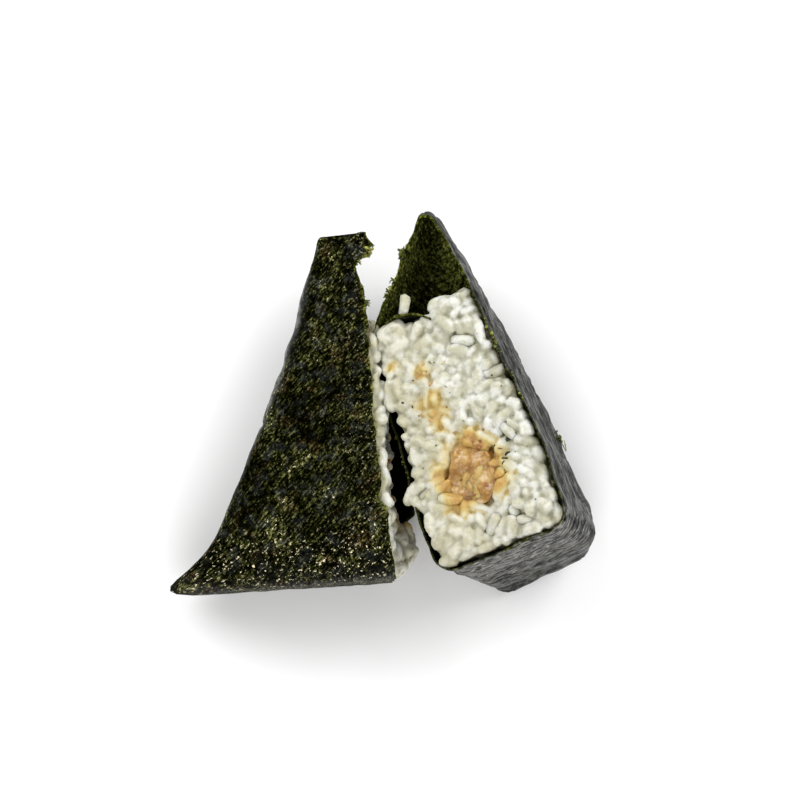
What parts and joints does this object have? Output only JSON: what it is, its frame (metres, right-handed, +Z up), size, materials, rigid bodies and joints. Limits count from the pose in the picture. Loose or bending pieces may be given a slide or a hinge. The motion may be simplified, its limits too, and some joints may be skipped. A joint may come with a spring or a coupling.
{
  "type": "onigiri rice ball",
  "caption": "Triangular rice ball wrapped in nori, cut in half from tip to base: one half lies on its back face, the other leans on it with its cut face up.",
  "frame": {"origin": "on the table, under the middle of both halves together", "axes": "+Z up from the table, +Y from the bases of the halves towards their tips, +X from the half that lies flat towards the half that lies open"},
  "size_m": [0.0944, 0.0836, 0.043],
  "materials": {
    "nori": "moist dark green-black seaweed sheet, mottled, with a soft gloss",
    "rice": "steamed short-grain rice, white, slightly translucent and moist",
    "filling": "cooked savoury filling, translucent orange-brown and moist"
  },
  "bodies": {
    "root": {"nori_left": "nori", "rice_left": "rice", "filling_left": "filling", "nori_right": "nori", "nori_flap": "nori", "rice_right": "rice", "filling_right": "filling"}
  },
  "joints": []
}
